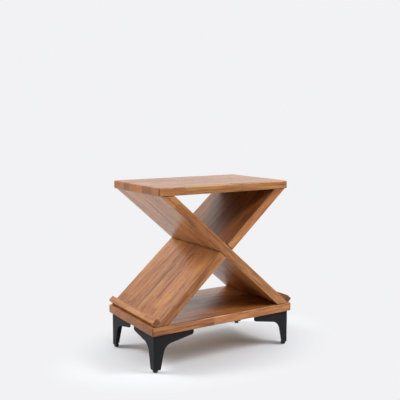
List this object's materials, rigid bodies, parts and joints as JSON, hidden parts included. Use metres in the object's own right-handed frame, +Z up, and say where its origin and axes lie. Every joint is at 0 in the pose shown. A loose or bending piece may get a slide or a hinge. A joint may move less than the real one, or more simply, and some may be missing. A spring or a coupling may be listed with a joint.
{
  "type": "nightstand",
  "caption": "Oak nightstand: a top and a base board held apart by crossed panels with ledges, on black bent sheet-steel legs with levelling feet.",
  "frame": {"origin": "on the floor under the middle of the stand, with the levelling feet screwed in", "axes": "+X to the right along the stand's length seen from the front, +Y to the back, +Z up"},
  "size_m": [0.568, 0.332, 0.6],
  "materials": {
    "oak": "oiled, satin",
    "beech": "raw",
    "black_powder_coat": "matt",
    "zinc_plated_steel": "satin",
    "black_oxide_steel": "satin",
    "black_plastic": "matt"
  },
  "bodies": {
    "frame": {"top_board": "oak", "base_board": "oak", "long_cross_panel": "oak", "upper_cross_panel": "oak", "lower_cross_panel": "oak", "left_ledge": "oak", "right_ledge": "oak", "top_left_dowel_front": "beech", "top_left_dowel_rear": "beech", "top_right_dowel_front": "beech", "top_right_dowel_rear": "beech", "base_left_dowel_front": "beech", "base_left_dowel_rear": "beech", "base_right_dowel_front": "beech", "base_right_dowel_rear": "beech", "left_ledge_dowel_front": "beech", "left_ledge_dowel_rear": "beech", "right_ledge_dowel_front": "beech", "right_ledge_dowel_rear": "beech", "cross_dowel_front": "beech", "cross_dowel_rear": "beech", "base_left_screw_front": "zinc_plated_steel", "base_left_screw_rear": "zinc_plated_steel", "base_right_screw_front": "zinc_plated_steel", "base_right_screw_rear": "zinc_plated_steel", "front_left_leg_screw_corner": "zinc_plated_steel", "front_left_leg_screw_long": "zinc_plated_steel", "front_left_leg_screw_short": "zinc_plated_steel", "front_right_leg_screw_corner": "zinc_plated_steel", "front_right_leg_screw_long": "zinc_plated_steel", "front_right_leg_screw_short": "zinc_plated_steel", "rear_left_leg_screw_corner": "zinc_plated_steel", "rear_left_leg_screw_long": "zinc_plated_steel", "rear_left_leg_screw_short": "zinc_plated_steel", "rear_right_leg_screw_corner": "zinc_plated_steel", "rear_right_leg_screw_long": "zinc_plated_steel", "rear_right_leg_screw_short": "zinc_plated_steel", "front_left_leg": "black_powder_coat", "front_right_leg": "black_powder_coat", "rear_left_leg": "black_powder_coat", "rear_right_leg": "black_powder_coat", "front_left_mounting_plate": "black_powder_coat", "front_right_mounting_plate": "black_powder_coat", "rear_left_mounting_plate": "black_powder_coat", "rear_right_mounting_plate": "black_powder_coat", "front_left_foot_plate": "black_powder_coat", "front_right_foot_plate": "black_powder_coat", "rear_left_foot_plate": "black_powder_coat", "rear_right_foot_plate": "black_powder_coat"},
    "front_left_pad": {"front_left_glide_pad": "black_plastic"},
    "front_left_stud": {"front_left_levelling_stud": "black_oxide_steel"},
    "front_right_pad": {"front_right_glide_pad": "black_plastic"},
    "front_right_stud": {"front_right_levelling_stud": "black_oxide_steel"},
    "rear_left_pad": {"rear_left_glide_pad": "black_plastic"},
    "rear_left_stud": {"rear_left_levelling_stud": "black_oxide_steel"},
    "rear_right_pad": {"rear_right_glide_pad": "black_plastic"},
    "rear_right_stud": {"rear_right_levelling_stud": "black_oxide_steel"}
  },
  "joints": [
    {"name": "front_left_pad_travel", "type": "slide", "parent": "frame", "child": "front_left_pad", "axis": [0, 0, -1], "range_m": [0, 0.012]},
    {"name": "front_left_stud_turn", "type": "hinge", "parent": "front_left_pad", "child": "front_left_stud", "pos_m": [-0.265, -0.147, 0.0027], "axis": [0, 0, -1], "range_deg": [0, 3450]},
    {"name": "front_right_pad_travel", "type": "slide", "parent": "frame", "child": "front_right_pad", "axis": [0, 0, -1], "range_m": [0, 0.012]},
    {"name": "front_right_stud_turn", "type": "hinge", "parent": "front_right_pad", "child": "front_right_stud", "pos_m": [0.265, -0.147, 0.0027], "axis": [0, 0, -1], "range_deg": [0, 3450]},
    {"name": "rear_left_pad_travel", "type": "slide", "parent": "frame", "child": "rear_left_pad", "axis": [0, 0, -1], "range_m": [0, 0.012]},
    {"name": "rear_left_stud_turn", "type": "hinge", "parent": "rear_left_pad", "child": "rear_left_stud", "pos_m": [-0.265, 0.147, 0.0027], "axis": [0, 0, -1], "range_deg": [0, 3450]},
    {"name": "rear_right_pad_travel", "type": "slide", "parent": "frame", "child": "rear_right_pad", "axis": [0, 0, -1], "range_m": [0, 0.012]},
    {"name": "rear_right_stud_turn", "type": "hinge", "parent": "rear_right_pad", "child": "rear_right_stud", "pos_m": [0.265, 0.147, 0.0027], "axis": [0, 0, -1], "range_deg": [0, 3450]}
  ],
  "couplings": [
    {"joint": "front_left_pad_travel", "follows": "front_left_stud_turn", "m_per_rad": 0.00019894},
    {"joint": "front_right_pad_travel", "follows": "front_right_stud_turn", "m_per_rad": 0.00019894},
    {"joint": "rear_left_pad_travel", "follows": "rear_left_stud_turn", "m_per_rad": 0.00019894},
    {"joint": "rear_right_pad_travel", "follows": "rear_right_stud_turn", "m_per_rad": 0.00019894}
  ]
}
